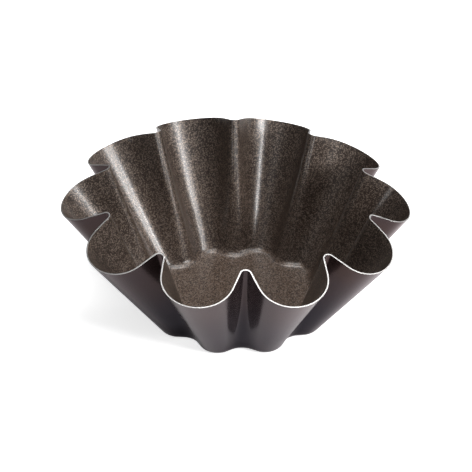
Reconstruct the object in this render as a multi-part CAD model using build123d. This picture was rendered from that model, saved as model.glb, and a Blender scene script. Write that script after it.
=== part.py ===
from build123d import *
import os
from math import acos, atan2, cos, degrees, hypot, radians, sin

# Ten-flute flared brioche tin, deep drawn from one round sheet blank.
# Millimetres, +Z up. The origin is the middle of the flat base, on the surface
# that the tin stands on. One lobe points along +X.

# Sheet and coats
steel_thickness = 0.24
lining_thickness = 0.08
outer_coat_thickness = 0.08

# Flutes: lobes are the round outward folds, valleys the narrow inward ones, and a
# straight flank joins them. The die's outline is given at its base and full height.
flute_count = 10
die_height = 42.0
base_tip_radius = 26.25
base_flute_depth = 2.85
base_valley_arc = 5.4
mouth_tip_radius = 56.85
mouth_flute_depth = 16.75
mouth_valley_arc = 1.3
# The lobe's arc, as a share of the one that would touch the valley's arc with no flank
lobe_arc_share = 0.91

# Round between the base and the wall, on the outside
foot_radius = 3.0

# Rim: the drawn sheet's edge lies on a dome that meets the wall nearly square, so it
# rises from the lobes' tips to the valleys. In section the dome is one arc, whose
# centre stands off the tin's axis and below its base.
rim_dome_arc = 85.1
rim_dome_centre_radius = 4.6
rim_dome_centre_drop = 39.4
rim_lean = 3.5  # degrees: the blank sat off centre, so the wall is longer towards -X

flute_angle = 360 / flute_count
# Heights, as shares of the die's height, at which the wall's outline is laid out
wall_section_shares = (0.0, 0.125, 0.25, 0.5, 0.75, 1.0)
# The valleys open out only near the foot: the higher the power, the lower they do
valley_opening_power = 3

# The mean slope of the wall turns a thickness across the sheet into one in plan
depth_growth = mouth_flute_depth - base_flute_depth
mean_flare = mouth_tip_radius - base_tip_radius - depth_growth / 2
plan_per_thickness = hypot(die_height, mean_flare) / die_height


def wall_value(at_base, at_mouth, height):
    """A size of the wall's outline that changes evenly from the base to the mouth."""
    return at_base + (at_mouth - at_base) * height / die_height


def flute_outline(height, inset):
    """The closed outline of lobes and valleys at a height, moved inward by inset."""
    tip = wall_value(base_tip_radius, mouth_tip_radius, height)
    valley = tip - wall_value(base_flute_depth, mouth_flute_depth, height)
    opening = (1 - height / die_height) ** valley_opening_power
    valley_arc = mouth_valley_arc + (base_valley_arc - mouth_valley_arc) * opening
    valley_centre = valley + valley_arc

    # How far the valley's centre lies past the lobe's tip, and to its side
    half = radians(flute_angle / 2)
    past_tip = valley_centre * cos(half) - tip
    aside = valley_centre * sin(half)
    touching_arc = (past_tip**2 + aside**2 - valley_arc**2) / (valley_arc - past_tip) / 2
    lobe_arc = lobe_arc_share * touching_arc
    lobe_centre = tip - lobe_arc

    # The flank is the straight line that touches the lobe's arc and the valley's arc
    along = past_tip + lobe_arc
    flank_turn = acos((lobe_arc + valley_arc) / hypot(along, aside))
    lobe_half = degrees(atan2(aside, along) - flank_turn)

    lobe_arc = lobe_arc - inset
    valley_arc = valley_arc + inset
    arcs = []
    for flute in range(flute_count):
        lobe_at = flute * flute_angle
        valley_at = lobe_at + flute_angle / 2
        lobe_middle = Vector(lobe_centre, 0).rotate(Axis.Z, lobe_at)
        valley_middle = Vector(valley_centre, 0).rotate(Axis.Z, valley_at)
        arcs.append(CenterArc(lobe_middle, lobe_arc, lobe_at - lobe_half, 2 * lobe_half))
        valley_start = lobe_at + lobe_half + 180
        arcs.append(
            CenterArc(valley_middle, valley_arc, valley_start, flute_angle - 2 * lobe_half)
        )
    flanks = [Line(arc @ 1, after @ 0) for arc, after in zip(arcs, arcs[1:] + arcs[:1])]
    edges = [edge for pair in zip(arcs, flanks) for edge in pair]
    return Pos(0, 0, height) * Face(Wire(edges))


def die_shape(depth):
    """The solid inside the surface that lies depth below the tin's outer surface."""
    inset = depth * plan_per_thickness
    sections = [
        flute_outline(depth + (die_height - depth) * share, inset)
        for share in wall_section_shares
    ]
    shape = loft(sections)
    foot_edges = shape.edges().group_by(Axis.Z)[0]
    return fillet(foot_edges, foot_radius - depth)


def blank_reach():
    """The space under the dome that the drawn blank's edge lies on."""
    rim_arc = CenterArc((rim_dome_centre_radius, -rim_dome_centre_drop), rim_dome_arc, 0, 90)
    top = rim_arc @ 1
    inward = Polyline(top, (0, top.Y), (0, -rim_dome_centre_drop), rim_arc @ 0)
    profile = Plane.XZ * Face(Wire([rim_arc, *inward.edges()]))
    return Rot(0, rim_lean, 0) * revolve(profile, Axis.Z)


def sheet_layer(outer_depth, thickness):
    """One layer of the wall and base, from outer_depth inward, trimmed at the rim."""
    layer = die_shape(outer_depth) - die_shape(outer_depth + thickness)
    return layer & blank_reach()


layers = {
    "outer_coat": sheet_layer(0, outer_coat_thickness),
    "steel_pressing": sheet_layer(outer_coat_thickness, steel_thickness),
    "nonstick_lining": sheet_layer(outer_coat_thickness + steel_thickness, lining_thickness),
}

os.makedirs("parts", exist_ok=True)
for node, shape in layers.items():
    export_step(shape, f"parts/{node}.step")
    print(node, "volume", round(shape.volume, 1), "box", shape.bounding_box())
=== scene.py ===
from math import cos, hypot, pi, radians, sin

import bmesh
import bpy
import numpy as np
from mathutils import Matrix, Vector


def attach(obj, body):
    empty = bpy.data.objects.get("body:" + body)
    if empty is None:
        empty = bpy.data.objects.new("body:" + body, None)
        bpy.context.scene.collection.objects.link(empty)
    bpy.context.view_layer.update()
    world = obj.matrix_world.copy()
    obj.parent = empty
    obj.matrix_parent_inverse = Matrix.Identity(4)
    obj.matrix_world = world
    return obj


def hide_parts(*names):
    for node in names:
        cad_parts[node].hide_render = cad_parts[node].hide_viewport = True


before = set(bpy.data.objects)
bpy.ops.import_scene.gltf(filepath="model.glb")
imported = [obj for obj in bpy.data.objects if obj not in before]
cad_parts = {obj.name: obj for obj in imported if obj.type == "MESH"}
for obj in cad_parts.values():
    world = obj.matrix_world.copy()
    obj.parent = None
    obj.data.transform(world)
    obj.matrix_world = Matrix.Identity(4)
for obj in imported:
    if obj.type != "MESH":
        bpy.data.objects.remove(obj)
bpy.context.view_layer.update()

# Sizes here are in millimetres, as in the part's source; MM turns them into Blender's metres
MM = 0.001

# The drawn tin: the same die, foot and rim as in the part's source
FLUTES = 10
DIE_HEIGHT = 42.0
BASE_TIP_RADIUS = 26.25
BASE_FLUTE_DEPTH = 2.85
BASE_VALLEY_ARC = 5.4
MOUTH_TIP_RADIUS = 56.85
MOUTH_FLUTE_DEPTH = 16.75
MOUTH_VALLEY_ARC = 1.3
LOBE_ARC_SHARE = 0.91
VALLEY_OPENING_POWER = 3
FOOT_RADIUS = 3.0
RIM_DOME_ARC = 85.1
RIM_DOME_CENTRE_RADIUS = 4.6
RIM_DOME_CENTRE_DROP = 39.4
RIM_LEAN = radians(3.5)
FLUTE_ANGLE = 2 * pi / FLUTES

# The mean slope of the wall turns a thickness across the sheet into one in plan
DEPTH_GROWTH = MOUTH_FLUTE_DEPTH - BASE_FLUTE_DEPTH
MEAN_FLARE = MOUTH_TIP_RADIUS - BASE_TIP_RADIUS - DEPTH_GROWTH / 2
PLAN_PER_THICKNESS = hypot(DIE_HEIGHT, MEAN_FLARE) / DIE_HEIGHT

# The sheet with its two coats, at the thin gauge that real coats have
SHEET_THICKNESS = 0.40
COAT_THICKNESS = 0.03
CUT_EDGE_ROUND = 0.02  # the burr is rolled off the cut edge
COAT_STOPS_SHORT = 0.02  # the coats end just under the cut edge

# What the press left uneven: the most that the cut edge falls short of its dome, and
# the most that the wall at the mouth lies inside its true line
RIM_WANDER = 0.16
PRESS_UNEVENNESS = 0.10

# How finely the pressing is laid out: columns round it, rows up it
LOBE_COLUMNS = 20
FLANK_COLUMNS = 4
VALLEY_COLUMNS = 12
FLOOR_RINGS = (0.02, 0.3, 0.6, 0.85, 1.0)  # shares of the way out to the foot
FOOT_ROWS = 8
WALL_ROWS = 34
CORNER_TURNS = (30, 60, 90)  # degrees round each rolled corner of the cut edge
CREASE_ANGLE = radians(50)

# The height of the cut edge is found by stepping towards it from a first guess
RIM_FIRST_GUESS = 0.9 * DIE_HEIGHT
RIM_TRIES = 8
RIM_TRIAL_STEP = 0.01

# The table top; its drop keeps it and the tin's flat base from sharing one plane
TABLE_SIZE = 6000.0
TABLE_DROP = 0.02
# How much the table's white is lifted to the camera, and in the tin's gloss
CAMERA_LIFT = 0.72
GLOSS_LIFT = 0.08
ROOM_LIGHT = 0.07

# The photograph's view of the tin
VIEW_HEIGHT_ANGLE = radians(34.44)
VIEW_DISTANCE = 743.02
VIEW_AIM = (-0.86, 0.0, 23.31)
VIEW_ROLL = 0.0139
TIN_TURN = radians(2.78)  # the tin stands turned by this from the camera's own axes
FOCAL_PIXELS = 2587.0
PHOTO_PIXELS = 472
SENSOR = 36.0

# The point that the lamps face
LAMP_AIM = (0, 0, 20)


# The shape of the tin


def outline_columns():
    """For each column round the tin: the angles of its lobe and valley, its sweep from
    -1 to 1 along its arc, its share of the way from the lobe's arc to the valley's, and
    whether it is on the valley's arc."""
    columns = []
    for flute in range(FLUTES):
        lobe_at = flute * FLUTE_ANGLE
        valley_at = lobe_at + FLUTE_ANGLE / 2
        after = lobe_at + FLUTE_ANGLE
        flank_shares = np.linspace(0, 1, FLANK_COLUMNS, endpoint=False)
        for sweep in np.linspace(-1, 1, LOBE_COLUMNS, endpoint=False):
            columns.append((lobe_at, valley_at, sweep, 0, False))
        for share in flank_shares:
            columns.append((lobe_at, valley_at, 1, share, False))
        for sweep in np.linspace(-1, 1, VALLEY_COLUMNS, endpoint=False):
            columns.append((lobe_at, valley_at, sweep, 1, True))
        for share in flank_shares:
            columns.append((after, valley_at, -1, 1 - share, False))
    return [np.array(values) for values in zip(*columns)]


LOBE_AT, VALLEY_AT, SWEEP, VALLEY_SHARE, ON_VALLEY = outline_columns()


def wall_value(at_base, at_mouth, height):
    """A size of the wall's outline that changes evenly from the base to the mouth."""
    return at_base + (at_mouth - at_base) * height / DIE_HEIGHT


def towards(turn):
    """The direction in plan at each of these angles."""
    return np.column_stack([np.cos(turn), np.sin(turn)])


def down_columns(value):
    """A value for each column, or one for them all, shaped to multiply points in plan."""
    return np.broadcast_to(value, SWEEP.shape)[:, None]


def flute_outline(height, inset):
    """Points round the tin at a height, moved inward by inset, and the outward direction
    at each."""
    tip = wall_value(BASE_TIP_RADIUS, MOUTH_TIP_RADIUS, height)
    valley = tip - wall_value(BASE_FLUTE_DEPTH, MOUTH_FLUTE_DEPTH, height)
    opening = np.clip(1 - height / DIE_HEIGHT, 0, None) ** VALLEY_OPENING_POWER
    valley_arc = MOUTH_VALLEY_ARC + (BASE_VALLEY_ARC - MOUTH_VALLEY_ARC) * opening
    valley_centre = valley + valley_arc

    # The lobe's arc is a share of the one that would touch the valley's arc with no flank
    past_tip = valley_centre * cos(FLUTE_ANGLE / 2) - tip
    aside = valley_centre * sin(FLUTE_ANGLE / 2)
    touching_arc = (past_tip**2 + aside**2 - valley_arc**2) / (valley_arc - past_tip) / 2
    lobe_arc = LOBE_ARC_SHARE * touching_arc
    lobe_centre = tip - lobe_arc

    # The flank is the straight line that touches the lobe's arc and the valley's arc
    along = past_tip + lobe_arc
    flank_turn = np.arccos((lobe_arc + valley_arc) / np.hypot(along, aside))
    lobe_half = np.arctan2(aside, along) - flank_turn
    lobe_arc = lobe_arc - inset
    valley_arc = valley_arc + inset

    valley_half = lobe_half - FLUTE_ANGLE / 2
    turn = np.where(ON_VALLEY, VALLEY_AT - SWEEP * valley_half, LOBE_AT + SWEEP * lobe_half)
    outward = towards(turn)
    lobe_middle = towards(LOBE_AT) * down_columns(lobe_centre)
    valley_middle = towards(VALLEY_AT) * down_columns(valley_centre)
    on_lobe_arc = lobe_middle + outward * down_columns(lobe_arc)
    on_valley_arc = valley_middle - outward * down_columns(valley_arc)
    plan = on_lobe_arc + (on_valley_arc - on_lobe_arc) * VALLEY_SHARE[:, None]
    return np.column_stack([plan, np.broadcast_to(height, turn.shape)]), outward


def rim_wander(points):
    """How far the cut edge falls short of the dome at each column, as the sheet stretched
    unevenly in the press."""
    turn = np.arctan2(points[:, 1], points[:, 0])
    slow = 0.5 * np.sin(3 * turn + 0.7) + 0.3 * np.sin(7 * turn + 2.1)
    wave = slow + 0.2 * np.sin(17 * turn + 4.0)
    return RIM_WANDER * (1 + wave) / 2


def past_cut_edge(height, inset, short):
    """How far the wall at these heights lies past the cut edge, whose dome leans."""
    points, _ = flute_outline(height, inset)
    x, y, z = points.T
    leaning_x = x * cos(RIM_LEAN) - z * sin(RIM_LEAN)
    leaning_z = x * sin(RIM_LEAN) + z * cos(RIM_LEAN)
    out = np.hypot(leaning_x, y) - RIM_DOME_CENTRE_RADIUS
    from_arc_centre = np.hypot(out, leaning_z + RIM_DOME_CENTRE_DROP)
    return from_arc_centre - RIM_DOME_ARC + rim_wander(points) + short


def rim_heights(inset, short):
    """The height at each column where the drawn sheet ends, less a length short of it."""
    height = np.full(len(SWEEP), RIM_FIRST_GUESS)
    for _ in range(RIM_TRIES):
        over = past_cut_edge(height, inset, short)
        over_higher = past_cut_edge(height + RIM_TRIAL_STEP, inset, short)
        height = height - over * RIM_TRIAL_STEP / (over_higher - over)
    return height


def press_unevenness(points):
    """How far the press left the wall out of its true line, in plan: slow waves that fade
    out towards the foot."""
    turn = np.arctan2(points[:, 1], points[:, 0])
    rise = np.clip(points[:, 2] / DIE_HEIGHT, 0, 1)
    slow = np.sin(4 * turn + 5 * rise) + 0.7 * np.sin(9 * turn - 7 * rise + 1.3)
    wave = slow + 0.5 * np.sin(23 * turn + 11 * rise)
    highest_wave = 2.2
    return -PRESS_UNEVENNESS * (1 + wave / highest_wave) / 2 * rise


def wall_row(height, inset):
    """One row of the wall, with the press's unevenness on it."""
    points, outward = flute_outline(height, inset)
    points[:, :2] += outward * press_unevenness(points)[:, None]
    return points


def sheet_face(depth, short):
    """Rows over the face of the sheet that lies depth inside the outer surface, from its
    middle out to the rim."""
    inset = depth * PLAN_PER_THICKNESS
    radius = FOOT_RADIUS - depth
    low, outward = flute_outline(depth, inset)
    higher, _ = flute_outline(depth + 1, inset)
    run_out = ((higher - low)[:, :2] * outward).sum(axis=1)
    turned = np.arctan2(1, run_out)
    flat_edge = low[:, :2] - outward * (radius * np.tan(turned / 2))[:, None]

    rows = []
    for share in FLOOR_RINGS:
        rows.append(np.column_stack([flat_edge * share, np.full(len(flat_edge), depth)]))
    for share in np.linspace(0, 1, FOOT_ROWS + 1)[1:]:
        angle = turned * share
        plan = flat_edge + outward * (radius * np.sin(angle))[:, None]
        rows.append(np.column_stack([plan, depth + radius * (1 - np.cos(angle))]))
    foot_top = rows[-1][:, 2]
    rim = rim_heights(inset, short)
    for share in np.linspace(0, 1, WALL_ROWS + 1)[1:]:
        rows.append(wall_row(foot_top + (rim - foot_top) * share, inset))
    return rows


def rolled_edge(outer_depth, inner_depth, radius):
    """Rows over the cut edge between two faces of the sheet, with both corners rolled off."""
    outer_corner = [(outer_depth, 1, turn) for turn in CORNER_TURNS]
    inner_corner = [(inner_depth, -1, turn) for turn in reversed(CORNER_TURNS)]
    rows = []
    for face_depth, inward, turn in outer_corner + inner_corner:
        depth = face_depth + inward * radius * (1 - cos(radians(turn)))
        short = radius * (1 - sin(radians(turn)))
        inset = depth * PLAN_PER_THICKNESS
        rows.append(wall_row(rim_heights(inset, short), inset))
    return rows


def closed_pressing(name, rows):
    """A closed mesh from rows that run from one middle, over the rim, to the other middle."""
    mesh = bpy.data.meshes.new(name)
    shell = bmesh.new()
    rings = [[shell.verts.new(Vector(point) * MM) for point in row] for row in rows]
    for lower, upper in zip(rings, rings[1:]):
        for column in range(len(lower)):
            after = (column + 1) % len(lower)
            shell.faces.new((lower[column], lower[after], upper[after], upper[column]))
    for ring in (rings[0], rings[-1]):
        middle = shell.verts.new(Vector((0, 0, ring[0].co.z)))
        for column in range(len(ring)):
            shell.faces.new((ring[column], middle, ring[(column + 1) % len(ring)]))
    bmesh.ops.recalc_face_normals(shell, faces=shell.faces)
    for face in shell.faces:
        face.smooth = True
    shell.to_mesh(mesh)
    shell.free()
    mesh.set_sharp_from_angle(angle=CREASE_ANGLE)
    piece = bpy.data.objects.new(name, mesh)
    bpy.context.scene.collection.objects.link(piece)
    return piece


def sheet_layer(name, outer_depth, inner_depth, edge_round=0.0, short=0.0):
    """One layer of the sheet as a closed pressing, with a rolled cut edge where edge_round
    is given."""
    outer_face = sheet_face(outer_depth, short + edge_round)
    inner_face = sheet_face(inner_depth, short + edge_round)
    edge = rolled_edge(outer_depth, inner_depth, edge_round) if edge_round else []
    return closed_pressing(name, outer_face + edge + inner_face[::-1])


# Shader helpers


def feed(tree, given, socket):
    """Gives an input a socket's value, or a number."""
    if isinstance(given, (int, float)):
        socket.default_value = given
    else:
        tree.links.new(given, socket)


def reckon(tree, operation, value, other):
    """A Math node on a socket and a socket or number."""
    node = tree.nodes.new("ShaderNodeMath")
    node.operation = operation
    tree.links.new(value, node.inputs[0])
    feed(tree, other, node.inputs[1])
    return node.outputs[0]


def multiply(tree, value, other):
    """A socket's value times a socket's or a number."""
    return reckon(tree, "MULTIPLY", value, other)


def spread(tree, value, low, high, to_low=0.0, to_high=1.0):
    """A Map Range node that turns low..high into to_low..to_high, with soft ends."""
    node = tree.nodes.new("ShaderNodeMapRange")
    node.interpolation_type = "SMOOTHSTEP"
    tree.links.new(value, node.inputs["Value"])
    node.inputs["From Min"].default_value = low
    node.inputs["From Max"].default_value = high
    node.inputs["To Min"].default_value = to_low
    node.inputs["To Max"].default_value = to_high
    return node.outputs["Result"]


def place_on_tin(tree):
    """The tin's own coordinates, in metres."""
    return tree.nodes.new("ShaderNodeTexCoord").outputs["Object"]


def noise(tree, scale, detail=2.0, roughness=0.5):
    """A Noise node over the tin's own coordinates; scale is a number or a socket."""
    node = tree.nodes.new("ShaderNodeTexNoise")
    tree.links.new(place_on_tin(tree), node.inputs["Vector"])
    feed(tree, scale, node.inputs["Scale"])
    node.inputs["Detail"].default_value = detail
    node.inputs["Roughness"].default_value = roughness
    return node.outputs["Fac"]


def grain_cells(tree, scale):
    """A random value from 0 to 1 for each small cell of the tin's surface."""
    node = tree.nodes.new("ShaderNodeTexVoronoi")
    tree.links.new(place_on_tin(tree), node.inputs["Vector"])
    tree.links.new(scale, node.inputs["Scale"])
    return node.outputs["Color"]


def height_share(tree, low, high):
    """0 below a height on the tin and 1 above another, in millimetres."""
    apart = tree.nodes.new("ShaderNodeSeparateXYZ")
    tree.links.new(place_on_tin(tree), apart.inputs["Vector"])
    return spread(tree, apart.outputs["Z"], low * MM, high * MM)


def mix_colours(tree, share, first, second):
    """A Mix node between two colours, each a socket or a colour in linear light."""
    node = tree.nodes.new("ShaderNodeMix")
    node.data_type = "RGBA"
    tree.links.new(share, node.inputs["Factor"])
    for socket, colour in ((node.inputs["A"], first), (node.inputs["B"], second)):
        if isinstance(colour, tuple):
            socket.default_value = (*colour, 1)
        else:
            tree.links.new(colour, socket)
    return node.outputs["Result"]


def bumped(tree, shader, height, depth):
    """Gives the shader a bump whose full height is depth, in millimetres."""
    node = tree.nodes.new("ShaderNodeBump")
    node.inputs["Strength"].default_value = 1.0
    node.inputs["Distance"].default_value = depth * MM
    tree.links.new(height, node.inputs["Height"])
    tree.links.new(node.outputs["Normal"], shader.inputs["Normal"])


# The effects that more than one finish uses


def new_effect(name, inputs, outputs):
    """An empty shader node group with named number inputs and outputs."""
    group = bpy.data.node_groups.new(name, "ShaderNodeTree")
    sides = [("INPUT", socket_name) for socket_name in inputs]
    sides += [("OUTPUT", socket_name) for socket_name in outputs]
    for side, socket_name in sides:
        group.interface.new_socket(socket_name, in_out=side, socket_type="NodeSocketFloat")
    return group, group.nodes.new("NodeGroupInput"), group.nodes.new("NodeGroupOutput")


def make_sprayed_grain():
    """Grain of a sprayed and baked coat: pale flecks and dark pits, and the height of its
    skin, which is a little coarser than its cells."""
    inputs = ("Grains Per Metre",)
    outputs = ("Flecks", "Pits", "Height")
    group, given, result = new_effect("sprayed grain", inputs, outputs)
    cells = grain_cells(group, given.outputs["Grains Per Metre"])
    skin_scale = multiply(group, given.outputs["Grains Per Metre"], 0.85)
    skin = noise(group, skin_scale, detail=1.0)
    group.links.new(spread(group, cells, 0.50, 0.80), result.inputs["Flecks"])
    group.links.new(spread(group, cells, 0.50, 0.20), result.inputs["Pits"])
    group.links.new(skin, result.inputs["Height"])
    return group


def make_slow_clouds():
    """Slow changes over a surface, where a coat lies thicker or thinner or was handled."""
    group, given, result = new_effect("slow clouds", ("Clouds Per Metre",), ("Cloud",))
    cloud = noise(group, given.outputs["Clouds Per Metre"], detail=3.0, roughness=0.55)
    group.links.new(spread(group, cloud, 0.3, 0.7), result.inputs["Cloud"])
    return group


SPRAYED_GRAIN = make_sprayed_grain()
SLOW_CLOUDS = make_slow_clouds()


def place_effect(tree, group, **values):
    """The effect placed in a material, with its own values for the named inputs."""
    node = tree.nodes.new("ShaderNodeGroup")
    node.node_tree = group
    for name, value in values.items():
        node.inputs[name.replace("_", " ")].default_value = value
    return node


# The finishes


def new_finish(name):
    """A material with its tree and its one surface shader."""
    material = bpy.data.materials.new(name)
    material.use_nodes = True
    tree = material.node_tree
    return material, tree, tree.nodes["Principled BSDF"]


def lining_colour(tree, grain, clouds):
    """The lining's speckled brown: a ground with painted shade that darkens it up the wall
    and painted light that makes the floor paler, dark pits in it and pale flecks."""
    thin_brown = (0.039, 0.0243, 0.0172)
    thick_brown = (0.046, 0.029, 0.0205)
    shaded_mouth_brown = (0.021, 0.0133, 0.0096)
    lit_floor_brown = (0.080, 0.05, 0.0345)
    pit_brown = (0.014, 0.009, 0.007)
    fleck_tan = (0.19, 0.149, 0.122)
    low_wall = mix_colours(tree, clouds.outputs["Cloud"], thin_brown, thick_brown)
    # Painted shade: the wall's brown darkens from 8 mm up to the mouth
    drawn = mix_colours(tree, height_share(tree, 8.0, 34.0), low_wall, shaded_mouth_brown)
    # The flat floor is painted paler than the wall: painted light, as the lamps above light
    # the floor more than the walls
    ground = mix_colours(tree, height_share(tree, 0.5, 2.0), lit_floor_brown, drawn)
    pits = multiply(tree, grain.outputs["Pits"], 0.95)
    pitted = mix_colours(tree, pits, ground, pit_brown)
    flecks = multiply(tree, grain.outputs["Flecks"], 0.88)
    return mix_colours(tree, flecks, pitted, fleck_tan)


def speckled_lining():
    """The satin non-stick lining: dark brown, with fine pale flecks that glint near a
    highlight."""
    material, tree, shader = new_finish("speckled brown lining")
    grain = place_effect(tree, SPRAYED_GRAIN, Grains_Per_Metre=3800.0)
    clouds = place_effect(tree, SLOW_CLOUDS, Clouds_Per_Metre=70.0)
    flecks = grain.outputs["Flecks"]
    tree.links.new(lining_colour(tree, grain, clouds), shader.inputs["Base Color"])
    # The press burnished the wall, so its flecks and its clear top shine more than those
    # of the floor, which lies just below these heights
    burnished = spread(tree, height_share(tree, 0.43, 0.62), 0.0, 1.0, 0.25, 1.0)
    fleck_shine = multiply(tree, multiply(tree, flecks, 0.65), burnished)
    tree.links.new(fleck_shine, shader.inputs["Metallic"])
    tree.links.new(spread(tree, flecks, 0, 1, 0.34, 0.46), shader.inputs["Roughness"])
    shader.inputs["Specular IOR Level"].default_value = 0.35
    clear_top = spread(tree, grain.outputs["Height"], 0.3, 0.7, 0.35, 0.88)
    tree.links.new(multiply(tree, clear_top, burnished), shader.inputs["Coat Weight"])
    shader.inputs["Coat Roughness"].default_value = 0.235
    bumped(tree, shader, grain.outputs["Height"], 0.05)
    return material


def glossy_outer_coat():
    """The smooth, glossy coat outside: red-brown up the wall, more mauve lower down and
    darker there as painted shade.
    """
    material, tree, shader = new_finish("glossy mauve brown coat")
    clouds = place_effect(tree, SLOW_CLOUDS, Clouds_Per_Metre=45.0)
    grain = place_effect(tree, SPRAYED_GRAIN, Grains_Per_Metre=500.0)
    cloud = clouds.outputs["Cloud"]
    red_brown = mix_colours(tree, cloud, (0.049, 0.0305, 0.027), (0.042, 0.0295, 0.031))
    shaded_low_mauve = (0.023, 0.0205, 0.0275)
    # Painted shade: the coat darkens towards the foot, where the table under the flare lies
    # in shadow
    ground = mix_colours(tree, height_share(tree, 8.0, 32.0), shaded_low_mauve, red_brown)
    tree.links.new(ground, shader.inputs["Base Color"])
    tree.links.new(spread(tree, cloud, 0, 1, 0.16, 0.22), shader.inputs["Roughness"])
    shader.inputs["Metallic"].default_value = 0.9
    shader.inputs["Specular Tint"].default_value = (1.0, 0.94, 0.955, 1)
    bumped(tree, shader, grain.outputs["Height"], 0.002)
    return material


def bare_cut_steel():
    """The bare sheet steel that shows at the cut edge."""
    material, tree, shader = new_finish("bare cut steel")
    grain = place_effect(tree, SPRAYED_GRAIN, Grains_Per_Metre=5200.0)
    clouds = place_effect(tree, SLOW_CLOUDS, Clouds_Per_Metre=160.0)
    dull = (0.52, 0.51, 0.50)
    bright = (0.68, 0.67, 0.66)
    metal = mix_colours(tree, clouds.outputs["Cloud"], dull, bright)
    tree.links.new(metal, shader.inputs["Base Color"])
    shader.inputs["Metallic"].default_value = 1.0
    roughness = spread(tree, grain.outputs["Height"], 0.3, 0.7, 0.44, 0.58)
    tree.links.new(roughness, shader.inputs["Roughness"])
    bumped(tree, shader, grain.outputs["Height"], 0.008)
    return material


def lift_where_seen(tree):
    """How much the table's white is lifted: for the camera and in gloss or glass, never
    for the light on the tin."""
    path = tree.nodes.new("ShaderNodeLightPath")
    lift = multiply(tree, path.outputs["Is Camera Ray"], CAMERA_LIFT)
    for name in ("Is Glossy Ray", "Is Transmission Ray"):
        lift = reckon(tree, "MAXIMUM", lift, multiply(tree, path.outputs[name], GLOSS_LIFT))
    return lift


def white_table():
    """The pale table top: white to the camera and in the tin's gloss, and it keeps the
    tin's shadow."""
    material, tree, shader = new_finish("white table")
    clouds = place_effect(tree, SLOW_CLOUDS, Clouds_Per_Metre=3.0)
    paint = mix_colours(tree, clouds.outputs["Cloud"], (0.86, 0.86, 0.86), (0.88, 0.88, 0.88))
    tree.links.new(paint, shader.inputs["Base Color"])
    shader.inputs["Roughness"].default_value = 0.9
    shader.inputs["Specular IOR Level"].default_value = 0.0
    shader.inputs["Emission Color"].default_value = (1, 1, 1, 1)
    tree.links.new(lift_where_seen(tree), shader.inputs["Emission Strength"])
    # From below, the table is clear, so that the underside of the tin can be looked at
    side = tree.nodes.new("ShaderNodeNewGeometry")
    solid = spread(tree, side.outputs["Backfacing"], 0.0, 1.0, 1.0, 0.0)
    tree.links.new(solid, shader.inputs["Alpha"])
    return material


# The table, the camera and the lamps


def lay_table():
    """A flat table top under the tin."""
    mesh = bpy.data.meshes.new("table_top")
    half = TABLE_SIZE / 2 * MM
    top = -TABLE_DROP * MM
    corners = [(-half, -half, top), (half, -half, top), (half, half, top), (-half, half, top)]
    mesh.from_pydata(corners, [], [(0, 1, 2, 3)])
    table = bpy.data.objects.new("table_top", mesh)
    bpy.context.scene.collection.objects.link(table)
    table.data.materials.append(white_table())


def set_camera():
    """A long lens, as far round and as high as in the photograph."""
    right = Vector((1, 0, 0))
    back = Vector((0, -cos(VIEW_HEIGHT_ANGLE), sin(VIEW_HEIGHT_ANGLE)))
    up = back.cross(right)
    rolled_right = right * cos(VIEW_ROLL) + up * sin(VIEW_ROLL)
    rolled_up = up * cos(VIEW_ROLL) - right * sin(VIEW_ROLL)
    stand = Matrix((rolled_right, rolled_up, back)).transposed().to_4x4()
    stand.translation = (Vector(VIEW_AIM) + back * VIEW_DISTANCE) * MM
    lens = bpy.data.cameras.new("camera")
    lens.sensor_width = SENSOR
    lens.lens = SENSOR * FOCAL_PIXELS / PHOTO_PIXELS
    camera = bpy.data.objects.new("camera", lens)
    camera.matrix_world = Matrix.Rotation(-TIN_TURN, 4, "Z") @ stand
    bpy.context.scene.collection.objects.link(camera)
    bpy.context.scene.camera = camera


def hang_softbox(name, azimuth, height_angle, distance, size, watts, tilt=0.0):
    """A rectangular soft light that faces the tin. Azimuth 0 is the camera's right and -90
    is the camera; tilt turns the light about the line to the tin. Angles are in degrees."""
    turn = radians(azimuth) - TIN_TURN
    rise = radians(height_angle)
    away = Vector((cos(rise) * cos(turn), cos(rise) * sin(turn), sin(rise)))
    lamp = bpy.data.lights.new(name, "AREA")
    lamp.shape = "RECTANGLE"
    lamp.size = size[0] * MM
    lamp.size_y = size[1] * MM
    lamp.energy = watts
    softbox = bpy.data.objects.new(name, lamp)
    softbox.location = (Vector(LAMP_AIM) + away * distance) * MM
    facing = away.to_track_quat("Z", "Y").to_matrix() @ Matrix.Rotation(radians(tilt), 3, "Z")
    softbox.rotation_euler = facing.to_euler()
    bpy.context.scene.collection.objects.link(softbox)


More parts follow.
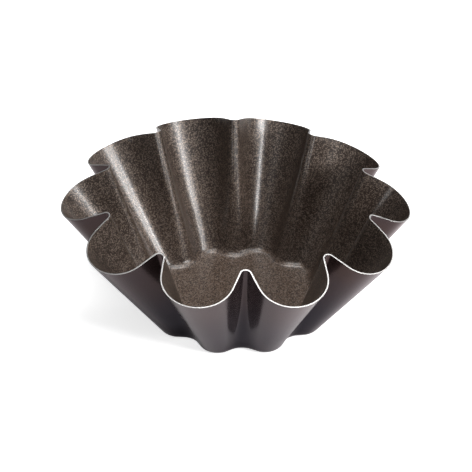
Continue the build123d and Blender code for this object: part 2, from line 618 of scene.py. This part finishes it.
def hang_lamps():
    """The seven softboxes of the studio."""
    # Wide ones above light the floor and the walls inside
    hang_softbox("top light", 85, 80, 1200, (500, 500), 5.7)
    hang_softbox("front softbox", -62, 68, 1000, (1300, 350), 6.6)
    # Narrow, tilted strips draw the long bright streaks in the lining
    hang_softbox("right key strip", -21, 28.5, 900, (90, 340), 2.9, tilt=42)
    hang_softbox("front strip", -37, 22, 900, (140, 340), 6.0, tilt=44)
    # Low ones give the outside of the wall its gloss
    hang_softbox("low front strip", -75, 7, 900, (380, 110), 1.35)
    hang_softbox("low left strip", -121, 8, 900, (160, 100), 0.4)
    # One stands to the right and a little behind
    hang_softbox("right fill", 25, 38, 1000, (300, 300), 1.8)


def light_room():
    """An even, plain room round the table, and a white background to the camera."""
    world = bpy.data.worlds.new("room")
    world.use_nodes = True
    bpy.context.scene.world = world
    tree = world.node_tree
    backdrop = tree.nodes["Background"]
    backdrop.inputs["Color"].default_value = (1, 1, 1, 1)
    path = tree.nodes.new("ShaderNodeLightPath")
    strength = spread(tree, path.outputs["Is Camera Ray"], 0.0, 1.0, ROOM_LIGHT, 1.0)
    tree.links.new(strength, backdrop.inputs["Strength"])


# The tin and its sizes


def finish_layer(piece, node, finish):
    """Gives a layer its finish, parents it to the root body and hides the CAD node it stands
    in for.
    """
    piece.data.materials.append(finish)
    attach(piece, "root")
    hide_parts(node)


def build_tin():
    """The three layers of the tin, each standing for its node, with its finish."""
    inner_steel = SHEET_THICKNESS - COAT_THICKNESS
    coat = sheet_layer("drawn_outer_coat", 0, COAT_THICKNESS, short=COAT_STOPS_SHORT)
    finish_layer(coat, "outer_coat", glossy_outer_coat())
    steel = sheet_layer(
        "drawn_steel_pressing", COAT_THICKNESS, inner_steel, edge_round=CUT_EDGE_ROUND
    )
    finish_layer(steel, "steel_pressing", bare_cut_steel())
    lining = sheet_layer(
        "drawn_nonstick_lining", inner_steel, SHEET_THICKNESS, short=COAT_STOPS_SHORT
    )
    finish_layer(lining, "nonstick_lining", speckled_lining())


bpy.context.scene.view_settings.view_transform = "Standard"
build_tin()
lay_table()
light_room()
hang_lamps()
set_camera()
